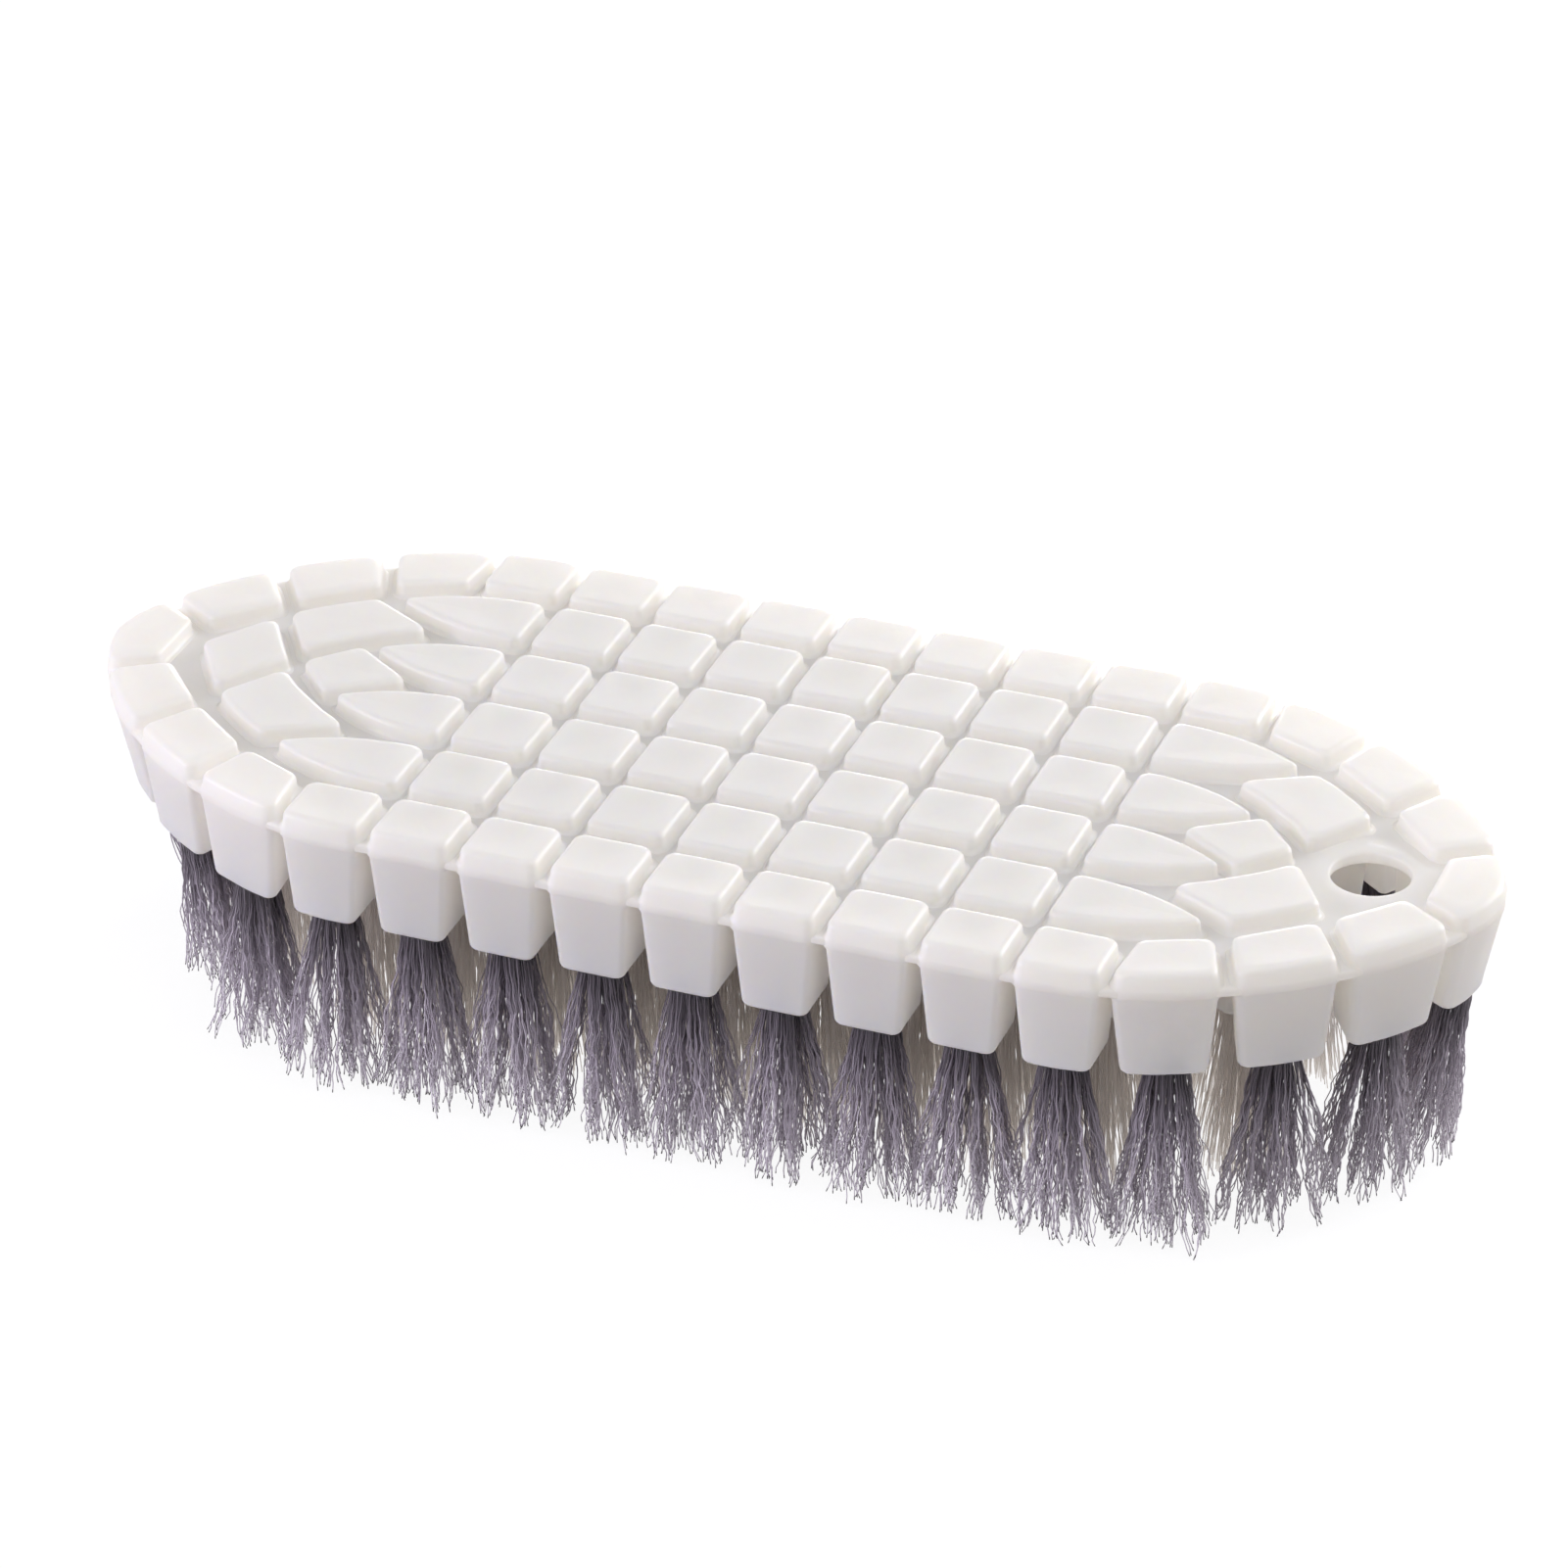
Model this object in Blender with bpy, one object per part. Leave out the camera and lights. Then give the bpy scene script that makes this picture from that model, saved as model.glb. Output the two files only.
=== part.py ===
"""Bendable scrub brush: a soft moulded back of small pads on a thin web, with a bristle tuft in every peg.

Metres, +Z up. X runs along the brush, with the hanging hole near +X, and Y runs across it. The bristle
tips stand on z = 0. The web bends at each cross groove, so the back is divided there by a fine slit, and
every column of pegs between two slits is one rigid segment with its origin on its own bending axis.
"""

import math

import bmesh
import bpy
from mathutils import Matrix, Vector

for old in list(bpy.data.objects):
    bpy.data.objects.remove(old)

MM = 0.001

# Plan of the back
column_pitch = 10.0 * MM
row_pitch = 11.0 * MM
square_length = 8.7 * MM
square_width = 9.0 * MM
side_groove = 1.7 * MM
rim_width = 8.2 * MM
rim_groove = 1.5 * MM
end_length = 37.6 * MM
end_roundness = 1.62
side_columns = 4
inner_rows = (-1.5, -0.5, 0.5, 1.5)

# Web, pads above it and pegs below it
web_thickness = 1.0 * MM
web_setback = 0.3 * MM
hinge_gap = 0.3 * MM
pad_height = 1.9 * MM
pad_draft = 0.15 * MM
pad_edge = 0.4 * MM
peg_depth = 9.3 * MM
peg_draft = 0.8 * MM
peg_edge = 0.5 * MM
corner_radius = 1.2 * MM
corner_steps = 1
least_rounded_turn = math.radians(35)
sharp_turn = math.radians(100)

# Leaf pads between the squares and the kites
leaf_width = 8.6 * MM
outer_leaf_length = 15.6 * MM
inner_leaf_length = 13.8 * MM
leaf_point_shares = (0.38, 0.7)
leaf_fullness = 2.4
leaf_tuft_share = 0.29

# Hanging hole
hole_radius = 4.3 * MM
hole_x_share = 0.625
hole_sides = 24
lip_radius = 5.7 * MM
lip_height = 0.8 * MM
lip_slope = 0.6 * MM

# Tufts
bristle_length = 21.4 * MM
bore_radius = 1.9 * MM
bore_depth = 6.0 * MM
tuft_clearance = 0.3 * MM
tuft_stub = 0.4 * MM
bore_sides = 8
strand_radius = 0.5 * MM
strand_tip_radius = 0.45 * MM
strand_root = 0.4 * MM
strand_ring_radius = 1.05 * MM
tuft_spread_x = 3.9 * MM
tuft_spread_y = 3.2 * MM
strand_wave = 0.35 * MM
strand_turn = math.radians(20)
strand_bend_share = 0.45
strand_lean_share = 0.3
strands_around = 4

# How far a cutter runs past what it cuts
overrun = 1.0 * MM

# Heights, from the bristle tips up
peg_bottom = bristle_length
web_bottom = peg_bottom + peg_depth
web_top = web_bottom + web_thickness
web_middle = (web_bottom + web_top) / 2
pad_top = web_top + pad_height
lip_top = web_top + lip_height

# Plan places that follow from the sizes above
last_column = side_columns * column_pitch
last_row = inner_rows[-1] * row_pitch
rim_inner = last_row + square_width / 2 + side_groove
half_width = rim_inner + rim_width
square_groove = column_pitch - square_length

# Corners of the end pads: shares of the end's length past the last column, and of the half width
kite_shares = ((0.135, 0.359), (0.437, 0.066), (0.560, 0.298), (0.354, 0.505))
diamond_shares = ((0.075, 0.0), (0.285, -0.172), (0.425, 0.0), (0.285, 0.172))
diamond_tuft_share = 0.271
end_diamond_shares = ((0.452, 0.0), (0.588, -0.262), (0.726, 0.0), (0.588, 0.262))
# Each groove across the rim: its turn round the outer edge, and its inner end in the same shares
rim_turns = tuple(math.radians(turn) for turn in (80.0, 59.5, 41.5, 20.0))
rim_inner_shares = ((0.136, 0.700), (0.356, 0.583), (0.582, 0.362), (0.755, 0.126))
tip_block_share = 0.17
# The slit between the last column and the end: shares of the end's length, and of the row pitch
slit_shares = (
    (0.080, 0.00), (0.114, 0.16), (0.186, 0.305), (0.248, 0.50), (0.188, 0.76), (0.124, 1.02),
    (0.250, 1.33), (0.284, 1.51), (0.188, 1.78), (0.136, 1.95),
)
end_hinge_share = 0.19


def edge_at(turn, outward=0.0):
    """A point on the +X end's outer edge: 0 is its tip, and a quarter turn is where the straight side starts."""
    power = 2 / end_roundness
    x = (end_length + outward) * abs(math.cos(turn)) ** power
    y = (half_width + outward) * abs(math.sin(turn)) ** power
    return Vector((last_column + x, math.copysign(y, turn)))


def edge_y(x, outward=0.0):
    """How far the outer edge lies from the long axis at a distance x along it."""
    past = max(abs(x) - last_column, 0) / (end_length + outward)
    return (half_width + outward) * (1 - past ** end_roundness) ** (1 / end_roundness)


def end_point(share, side=1):
    """A plan point of the +X end from its shares of the end's length and of the half width."""
    return Vector((last_column + share[0] * end_length, side * share[1] * half_width))


def across(points):
    """The same outline on the other side of the long axis, still counter-clockwise."""
    return [Vector((point.x, -point.y)) for point in reversed(points)]


def at_other_end(points):
    """The same outline at the -X end, still counter-clockwise."""
    return [Vector((-point.x, point.y)) for point in reversed(points)]


def rectangle(x_low, y_low, x_high, y_high):
    return [Vector(p) for p in ((x_low, y_low), (x_high, y_low), (x_high, y_high), (x_low, y_high))]


def inset_corners(corners, inset):
    """The corners of an outline with every side moved in by the inset."""
    moved = []
    for index, here in enumerate(corners):
        into = (here - corners[index - 1]).normalized()
        away = (corners[(index + 1) % len(corners)] - here).normalized()
        first = Vector((-into.y, into.x))
        second = Vector((-away.y, away.x))
        moved.append(here + (first + second) * inset / (1 + first.dot(second)))
    return moved


def rounded(corners, inset=0.0):
    """An outline moved in by the inset, with its corners turned into arcs, finer on sharp ones."""
    corners = inset_corners(corners, inset)
    outline = []
    for index, here in enumerate(corners):
        before = here - corners[index - 1]
        after = corners[(index + 1) % len(corners)] - here
        turn = before.angle(after)
        if turn < least_rounded_turn:
            outline.append(here)
            continue
        half = math.tan(turn / 2)
        cut = min(corner_radius * half, before.length / 2.2, after.length / 2.2)
        start = here - before.normalized() * cut
        inward = Vector((-before.y, before.x)).normalized() * cut / half
        steps = corner_steps if turn < sharp_turn else 2 * corner_steps
        for step in range(steps + 1):
            outline.append(start + inward - Matrix.Rotation(turn * step / steps, 2) @ inward)
    return outline


def centre_of(corners):
    """The centre of area of an outline."""
    area = 0.0
    total = Vector((0.0, 0.0))
    for index, here in enumerate(corners):
        before = corners[index - 1]
        cross = before.x * here.y - before.y * here.x
        area += cross
        total += (before + here) * cross / 3
    return total / area


def ring_at(outline, z):
    return [(point.x, point.y, z) for point in outline]


def loft(mesh, rings):
    """A closed body through rings of points, lowest first, each counter-clockwise seen from above."""
    levels = [[mesh.verts.new(point) for point in ring] for ring in rings]
    count = len(levels[0])
    for low, high in zip(levels, levels[1:]):
        for index in range(count):
            after = (index + 1) % count
            mesh.faces.new((low[index], low[after], high[after], high[index]))
    mesh.faces.new(list(reversed(levels[0])))
    mesh.faces.new(levels[-1])


def add_block(mesh, corners):
    """One pad with its peg below: widest at the web, drawn in towards both ends, with eased edges."""
    levels = (
        (peg_bottom, peg_draft + peg_edge),
        (peg_bottom + peg_edge, peg_draft),
        (web_middle, 0.0),
        (pad_top - pad_edge, pad_draft),
        (pad_top, pad_draft + pad_edge),
    )
    loft(mesh, [ring_at(rounded(corners, inset), z) for z, inset in levels])


def add_prism(mesh, centre, radius, sides, bottom, top):
    """An upright prism with that many sides."""
    turns = [2 * math.pi * (side + 0.5) / sides for side in range(sides)]
    outline = [centre + radius * Vector((math.cos(turn), math.sin(turn))) for turn in turns]
    loft(mesh, [ring_at(outline, bottom), ring_at(outline, top)])


def strand_paths():
    """Root, bend and tip of each lock of filaments, in plan from the tuft's centre."""
    middle = Vector((0.0, 0.0))
    paths = [(middle, Vector((0.0, strand_wave)), middle)]
    for number in range(strands_around):
        turn = strand_turn + 2 * math.pi * number / strands_around
        out = Vector((math.cos(turn), math.sin(turn)))
        root = out * strand_ring_radius
        tip = Vector((out.x * tuft_spread_x, out.y * tuft_spread_y))
        bend = root.lerp(tip, strand_lean_share) + Vector((-out.y, out.x)) * strand_wave
        paths.append((root, bend, tip))
    return paths


def add_strands(mesh, centre, root_z, tip_z):
    """The locks of one tuft: three-sided, leaning out as they go down, and cut level at the tips."""
    corners = [Matrix.Rotation(2 * math.pi * side / 3, 2) @ Vector((0.0, 1.0)) for side in range(3)]
    bend_z = root_z + (tip_z - root_z) * strand_bend_share
    bend_radius = (strand_radius + strand_tip_radius) / 2
    for root, bend, tip in strand_paths():
        stations = (
            (tip, tip_z, strand_tip_radius),
            (bend, bend_z, bend_radius),
            (root, root_z + strand_root, strand_radius),
        )
        loft(mesh, [ring_at([centre + place + radius * c for c in corners], z) for place, z, radius in stations])


def mesh_of(name, fill, *values):
    """A new mesh that the given function fills."""
    work = bmesh.new()
    fill(work, *values)
    bmesh.ops.recalc_face_normals(work, faces=work.faces)
    mesh = bpy.data.meshes.new(name)
    work.to_mesh(mesh)
    work.free()
    return mesh


def make_material(name, colour, roughness):
    material = bpy.data.materials.new(name)
    material.use_nodes = True
    shader = material.node_tree.nodes["Principled BSDF"]
    shader.inputs["Base Color"].default_value = (*colour, 1)
    shader.inputs["Roughness"].default_value = roughness
    shader.inputs["Metallic"].default_value = 0
    material.diffuse_color = (*colour, 1)
    return material


def link(item):
    bpy.context.scene.collection.objects.link(item)
    return item


def add_helper(name, fill, *values):
    """A shape that only cuts or joins another, and is no piece itself."""
    helper = link(bpy.data.objects.new(name, mesh_of(name, fill, *values)))
    helper.hide_render = True
    helper.display_type = "WIRE"
    return helper


def add_boolean(piece, helper, operation):
    boolean = piece.modifiers.new(helper.name, "BOOLEAN")
    boolean.operation = operation
    boolean.object = helper


def add_axis(name, x, parent):
    """An empty on a bending axis, which carries everything past that groove."""
    axis = link(bpy.data.objects.new(name, None))
    axis.location = (x, 0, web_middle)
    if parent:
        axis.parent = parent
        axis.location = (x - parent.matrix_world.translation.x, 0, 0)
    bpy.context.view_layer.update()
    return axis


def add_piece(name, mesh, axis, place, material):
    """A piece of the brush whose mesh is written from the given place, carried by a bending axis."""
    piece = link(bpy.data.objects.new(name, mesh))
    piece.parent = axis
    piece.location = Vector(place) - axis.matrix_world.translation
    if not mesh.materials:
        mesh.materials.append(material)
    return piece


def squares_of(column):
    """The inner pads of one column of squares."""
    x = column * column_pitch
    half = Vector((square_length, square_width)) / 2
    rows = [row * row_pitch for row in inner_rows]
    return [rectangle(x - half.x, y - half.y, x + half.x, y + half.y) for y in rows]


def leaves():
    """The arched pads of the +X end's last column: straight at the squares, and drawn to a point."""
    base = last_column - square_length / 2
    found = []
    for row in inner_rows:
        length = outer_leaf_length if abs(row) > 1 else inner_leaf_length
        y = row * row_pitch
        side = [Vector((base + length * t, leaf_width / 2 * (1 - t ** leaf_fullness))) for t in (0, *leaf_point_shares)]
        found.append(
            [Vector((p.x, y - p.y)) for p in side]
            + [Vector((base + length, y))]
            + [Vector((p.x, y + p.y)) for p in reversed(side)]
        )
    return found


def side_blocks(column):
    """The two rim blocks of one column, at -Y and at +Y."""
    x_low = column * column_pitch - square_length / 2
    x_high = x_low + square_length
    corners = rectangle(x_low, rim_inner, x_high, half_width)
    for corner in corners[2:]:
        corner.y = edge_y(corner.x)
    return [across(corners), corners]


def rim_blocks():
    """The seven blocks round the +X end, from -Y to +Y, cut from the rim by grooves of one width."""
    half_groove = rim_groove / 2
    outer = [edge_at(turn, half_groove) for turn in rim_turns]
    inner = [end_point(share) for share in rim_inner_shares]
    upper = []
    for index in range(len(rim_turns) - 1):
        middle = edge_at((rim_turns[index] + rim_turns[index + 1]) / 2, half_groove)
        cell = [inner[index], inner[index + 1], outer[index + 1], middle, outer[index]]
        upper.append(inset_corners(cell, half_groove))
    start = inner[-1].lerp(outer[-1], tip_block_share)
    half_tip = edge_at(rim_turns[-1] / 2, half_groove)
    tip = [across([start])[0], across([outer[-1]])[0], across([half_tip])[0], edge_at(0, half_groove),
           half_tip, outer[-1], start]
    return [across(cell) for cell in upper] + [inset_corners(tip, half_groove)] + list(reversed(upper))


def slit_line(shift):
    """The slit at the +X end from -Y to +Y, moved square to itself by the shift towards the tip."""
    upper = [Vector((last_column + x * end_length, y * row_pitch)) for x, y in slit_shares]
    upper.append(edge_at(rim_turns[0], -web_setback))
    line = [Vector((point.x, -point.y)) for point in reversed(upper[1:])] + upper
    moved = []
    for index, here in enumerate(line):
        ahead = line[min(index + 1, len(line) - 1)]
        behind = line[max(index - 1, 0)]
        runs = [run.normalized() for run in (here - behind, ahead - here) if run.length]
        squares = [Vector((run.y, -run.x)) for run in runs]
        moved.append(here + (squares[0] + squares[-1]) * shift / (1 + squares[0].dot(squares[-1])))
    return moved


def web_outline(column):
    """The plan of one segment's web, for a column from the middle to the +X end."""
    low_x = (column - 0.5) * column_pitch + hinge_gap / 2
    if column > side_columns:
        turns = [(a + b) / 2 for a, b in zip(rim_turns, rim_turns[1:])] + list(rim_turns[1:])
        turns = sorted(turns + [rim_turns[-1] / 2])
        edge = [edge_at(-turn, -web_setback) for turn in reversed(turns)] + [edge_at(0, -web_setback)]
        edge += [edge_at(turn, -web_setback) for turn in turns]
        return edge + list(reversed(slit_line(hinge_gap / 2)))
    side_y = half_width - web_setback
    if column < side_columns:
        return rectangle(low_x, -side_y, low_x + column_pitch - hinge_gap, side_y)
    ends = [Vector((low_x, -side_y)), Vector((last_column, -side_y))]
    return ends + slit_line(-hinge_gap / 2) + [Vector((p.x, -p.y)) for p in reversed(ends)]


def add_web(mesh, outline):
    loft(mesh, [ring_at(outline, web_bottom), ring_at(outline, web_top)])


def add_blocks(mesh, outlines):
    for outline in outlines:
        add_block(mesh, outline)


def add_lip(mesh, centre):
    """The low raised ring round the hanging hole, sloping down to the web."""
    turns = [2 * math.pi * (side + 0.5) / hole_sides for side in range(hole_sides)]
    rings = []
    for radius, z in ((lip_radius, web_middle), (lip_radius, web_top), (lip_radius - lip_slope, lip_top)):
        rings.append(ring_at([centre + radius * Vector((math.cos(t), math.sin(t))) for t in turns], z))
    loft(mesh, rings)


def add_bores(mesh, centres):
    for centre in centres:
        add_prism(mesh, centre, bore_radius, bore_sides, peg_bottom - overrun, peg_bottom + bore_depth)


def add_rooted_strands(mesh, centres):
    for centre in centres:
        add_strands(mesh, centre, peg_bottom, 0.0)


def add_tuft(mesh):
    """A tuft's folded root, from its bore down to just below the peg, as its own origin sees it."""
    plug_top = bore_depth - tuft_clearance
    add_prism(mesh, Vector((0.0, 0.0)), bore_radius - tuft_clearance, bore_sides, -tuft_stub, plug_top)


def tuft_mesh():
    """The root and its locks joined into one body, shared by every separate tuft."""
    root = link(bpy.data.objects.new("tuft", mesh_of("tuft_root", add_tuft)))
    locks = add_helper("tuft_locks", add_strands, Vector((0.0, 0.0)), -tuft_stub, -peg_bottom)
    add_boolean(root, locks, "UNION")
    bpy.context.view_layer.update()
    mesh = bpy.data.meshes.new_from_object(root.evaluated_get(bpy.context.evaluated_depsgraph_get()))
    bpy.data.objects.remove(root)
    bpy.data.objects.remove(locks)
    mesh.name = "tuft"
    return mesh


white_plastic = make_material("soft_white_plastic", (0.87, 0.85, 0.82), 0.42)
grey_filament = make_material("grey_filament", (0.10, 0.09, 0.11), 0.5)
white_filament = make_material("white_filament", (0.78, 0.74, 0.68), 0.5)

grey_tuft = tuft_mesh()
grey_tuft.materials.append(grey_filament)
white_tuft = grey_tuft.copy()
white_tuft.materials[0] = white_filament

# Bending axes: the middle column stands still, and each groove's axis is carried by the one before it
axes = {0: add_axis("middle_column_origin", 0, None)}
for side, end in ((1, "hanging"), (-1, "plain")):
    for number in range(1, side_columns + 1):
        x = side * (number - 0.5) * column_pitch
        axes[side * number] = add_axis(f"groove_axis_{end}_{number}", x, axes[side * (number - 1)])
    x = side * (last_column + end_hinge_share * end_length)
    axes[side * (side_columns + 1)] = add_axis(f"groove_axis_{end}_end", x, axes[side * side_columns])


def add_segment(name, column, outline, blocks, bores, rooted):
    """One rigid segment of the back: its web, its blocks, the bores for its tufts and its rooted locks."""
    axis = axes[column]
    place = axis.matrix_world.translation
    web = mesh_of(name, add_web, outline)
    web.transform(Matrix.Translation(-place))
    segment = add_piece(name, web, axis, place, white_plastic)
    add_boolean(segment, add_helper(f"{name}_blocks", add_blocks, blocks), "UNION")
    if bores:
        add_boolean(segment, add_helper(f"{name}_bores", add_bores, bores), "DIFFERENCE")
    if rooted:
        add_boolean(segment, add_helper(f"{name}_locks", add_rooted_strands, rooted), "UNION")
    return segment


def add_tuft_at(name, mesh, column, centre, turn=0.0):
    tuft = add_piece(name, mesh, axes[column], (centre.x, centre.y, peg_bottom), None)
    tuft.rotation_euler.z = turn


for column in range(-side_columns, side_columns + 1):
    number = column + side_columns + 1
    outline = web_outline(abs(column))
    outer = side_blocks(abs(column))
    inner = leaves() if abs(column) == side_columns else squares_of(abs(column))
    if column < 0:
        outline = at_other_end(outline)
        outer = [at_other_end(block) for block in outer]
        inner = [at_other_end(block) for block in inner]
    edge_centres = [centre_of(block) for block in outer]
    inner_centres = [centre_of(block) for block in inner]
    if abs(column) == side_columns:
        x = last_column - square_length / 2
        reach = [outer_leaf_length if abs(row) > 1 else inner_leaf_length for row in inner_rows]
        for centre, length in zip(inner_centres, reach):
            centre.x = math.copysign(x + leaf_tuft_share * length, column)
        for row, centre in enumerate(inner_centres):
            add_tuft_at(f"leaf_tuft_{number}_{row + 1}", white_tuft, column, centre)
        bores, rooted = edge_centres + inner_centres, []
    else:
        bores, rooted = edge_centres, inner_centres
    add_segment(f"back_column_{number}", column, outline, [*outer, *inner], bores, rooted)
    for side, centre in zip(("front", "rear"), edge_centres):
        add_tuft_at(f"{side}_tuft_{number}", grey_tuft, column, centre)

for end, side in (("hanging", 1), ("plain", -1)):
    column = side * (side_columns + 1)
    outline = web_outline(abs(column))
    rim = rim_blocks()
    kites = [[end_point(share, side=1) for share in kite_shares]]
    kites.insert(0, across(kites[0]))
    diamonds = [[end_point(share) for share in diamond_shares]]
    if side < 0:
        diamonds.append([end_point(share) for share in end_diamond_shares])
        outline = at_other_end(outline)
        rim, kites, diamonds = ([at_other_end(block) for block in group] for group in (rim, kites, diamonds))
    blocks = [*rim, *kites, *diamonds]
    centres = [centre_of(block) for block in blocks]
    centres[len(rim) + len(kites)].x = side * (last_column + diamond_tuft_share * end_length)
    segment = add_segment(f"{end}_end", column, outline, blocks, centres, [])
    if side > 0:
        hole = Vector((last_column + hole_x_share * end_length, 0.0))
        add_boolean(segment, add_helper("hanging_hole_lip", add_lip, hole), "UNION")
        cutter = add_helper("hanging_hole", add_prism, hole, hole_radius, hole_sides,
                            web_bottom - overrun, lip_top + overrun)
        add_boolean(segment, cutter, "DIFFERENCE")
    names = [f"{end}_end_tuft_{n + 1}" for n in range(len(rim))]
    names += [f"{end}_end_kite_tuft_{n + 1}" for n in range(len(kites))]
    names += [f"{end}_end_diamond_tuft_{n + 1}" for n in range(len(diamonds))]
    for name, centre in zip(names, centres):
        on_rim = name in names[:len(rim)]
        out = centre - Vector((side * last_column, 0.0))
        turn = math.atan2(out.y, out.x) - math.pi / 2 if on_rim else 0.0
        add_tuft_at(name, grey_tuft if on_rim else white_tuft, column, centre, turn)
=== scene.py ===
"""The looks of a bendable scrub brush: its moulded back, its crimped tufts and a table in soft daylight.

Sizes are in millimetres until they go into a mesh. X runs along the brush with the hanging hole near +X,
Y runs across it, and the filament tips stand on z = 0.
"""

import bpy
import numpy as np
from mathutils import Matrix


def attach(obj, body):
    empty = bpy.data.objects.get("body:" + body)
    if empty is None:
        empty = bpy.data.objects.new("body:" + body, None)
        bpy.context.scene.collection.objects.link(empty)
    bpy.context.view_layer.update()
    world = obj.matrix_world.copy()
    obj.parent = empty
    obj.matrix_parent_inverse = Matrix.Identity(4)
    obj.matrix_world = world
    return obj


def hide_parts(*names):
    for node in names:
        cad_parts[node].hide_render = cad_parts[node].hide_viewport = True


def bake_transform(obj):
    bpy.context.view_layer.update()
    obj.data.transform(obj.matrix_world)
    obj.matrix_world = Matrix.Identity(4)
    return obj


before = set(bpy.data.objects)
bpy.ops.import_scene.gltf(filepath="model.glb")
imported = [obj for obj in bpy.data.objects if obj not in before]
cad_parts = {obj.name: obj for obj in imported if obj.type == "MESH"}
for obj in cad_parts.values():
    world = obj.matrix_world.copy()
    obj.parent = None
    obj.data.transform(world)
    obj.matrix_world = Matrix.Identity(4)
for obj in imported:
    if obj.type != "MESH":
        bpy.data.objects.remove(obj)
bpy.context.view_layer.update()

# ---------------------------------------------------------------------------------------------------------
# Camera: the brush was photographed from its front right, well above the table, through a long lens that
# keeps the two long sides almost parallel.
MM = 0.001
camera_azimuth, camera_elevation = 20.85, 30.37
camera_distance = 683.0
aim_right, aim_up, aim_height = -0.28, -3.44, 33.6
picture_width = 1601
focal_length_in_pixels = 6677
sensor_width = 36.0
nearest_seen, farthest_seen = 50.0, 20000.0


def turned_to_brush(azimuth, elevation):
    """The right, up and back directions of a camera or lamp that looks at the brush from an azimuth and an
    elevation: back is (sin a cos e, -cos a cos e, sin e), and right lies level, square to it."""
    azimuth, elevation = np.radians((azimuth, elevation))
    level = np.cos(elevation)
    back = np.array((np.sin(azimuth) * level, -np.cos(azimuth) * level, np.sin(elevation)))
    right = np.array((np.cos(azimuth), np.sin(azimuth), 0.0))
    return right, np.cross(back, right), back


def put(item, directions, place):
    """Places a camera or lamp with its directions as its own axes, and adds it to the scene."""
    pose = np.eye(4)
    pose[:3, :3] = np.stack(directions, 1)
    pose[:3, 3] = place * MM
    item.matrix_world = Matrix(pose.tolist())
    bpy.context.scene.collection.objects.link(item)


right, up, back = turned_to_brush(camera_azimuth, camera_elevation)
camera = bpy.data.objects.new("camera", bpy.data.cameras.new("camera"))
camera.data.sensor_width = sensor_width
camera.data.lens = sensor_width * focal_length_in_pixels / picture_width
camera.data.clip_start, camera.data.clip_end = nearest_seen * MM, farthest_seen * MM
put(camera, (right, up, back), back * camera_distance + right * aim_right + up * aim_up + (0, 0, aim_height))
bpy.context.scene.camera = camera

# ---------------------------------------------------------------------------------------------------------
# Pads and pegs: the back is one injection moulding in a soft, rubbery polyolefin. Each block stands through
# the thin web, with a low rounded pad on top for the hand and a deep peg below, drilled for its tuft.
column_pitch, row_pitch = 10.0, 11.0
square_length, square_width = 8.7, 9.0
side_groove, rim_width, rim_groove = 1.7, 8.2, 1.5
end_length, end_roundness = 37.6, 1.62
side_columns = 4
inner_rows = np.array((-1.5, -0.5, 0.5, 1.5))
web_thickness, peg_depth, pad_height, bristle_length = 1.0, 9.3, 1.9, 21.4
peg_draft, pad_draft = 0.7, 0.15
peg_side_edge, peg_front_edge, pad_edge = 0.85, 0.38, 0.62
pad_front_draft, parting_step = 0.35, 0.07
corner_radius, peg_corner_radius, end_corner_radius = 1.0, 0.7, 1.3
web_fillet = 0.52
end_peg_leans = {1: -0.12, -1: -0.2}
# A bore's rings from its roof to its mouth: how far each lies outside its radius and above the peg's foot
bore_radius = 2.2
bore_flares = np.array((-0.1, 0.0, 0.2))
bore_rises = np.array((2.0, 0.25, 0.0))
# How far a top sinks in its middle, and where its rings lie from its edge to its middle
sink, tip_sink = 0.09, -0.12
top_ring_shares = np.array((0.95, 0.86, 0.72, 0.52, 0.28))
# Where the peg's straight draft starts and ends, and the rings at the parting line
foot_to_draft, draft_to_web = 0.5, 0.4
parting_rises = np.array((0.03, 0.12))
parting_reach = 0.01
# Corners by the cosine of their turn, and how much of its sides a corner's arc may take
in_line_cosine, gentle_cosine, sharpest_cosine = 0.95, 0.85, -0.999
side_room_share, long_room_share, gentle_cut_share = 0.45, 0.65, 0.3
leaf_width, leaf_fullness, leaf_tuft_share = 8.6, 2.4, 0.29
outer_leaf_length, inner_leaf_length = 15.6, 13.8
leaf_side_shares = np.array((0.0, 0.2, 0.38, 0.54, 0.69, 0.82, 0.92))
kite_shares = np.array(((0.135, 0.359), (0.437, 0.066), (0.560, 0.298), (0.354, 0.505)))
kite_bow, kite_hollow, bow_shares = 0.35, 0.55, np.array((0.3, 0.7))
diamond_shares = np.array(((0.075, 0.0), (0.285, -0.172), (0.413, 0.0), (0.285, 0.172)))
diamond_tuft_share = 0.271
end_diamond_shares = np.array(((0.452, 0.0), (0.588, -0.262), (0.726, 0.0), (0.588, 0.262)))
rim_turns = np.radians((80.0, 59.5, 41.5, 20.0))
rim_inner_shares = np.array(((0.136, 0.700), (0.356, 0.583), (0.582, 0.362), (0.755, 0.126)))
tip_block_share = 0.17

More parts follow.
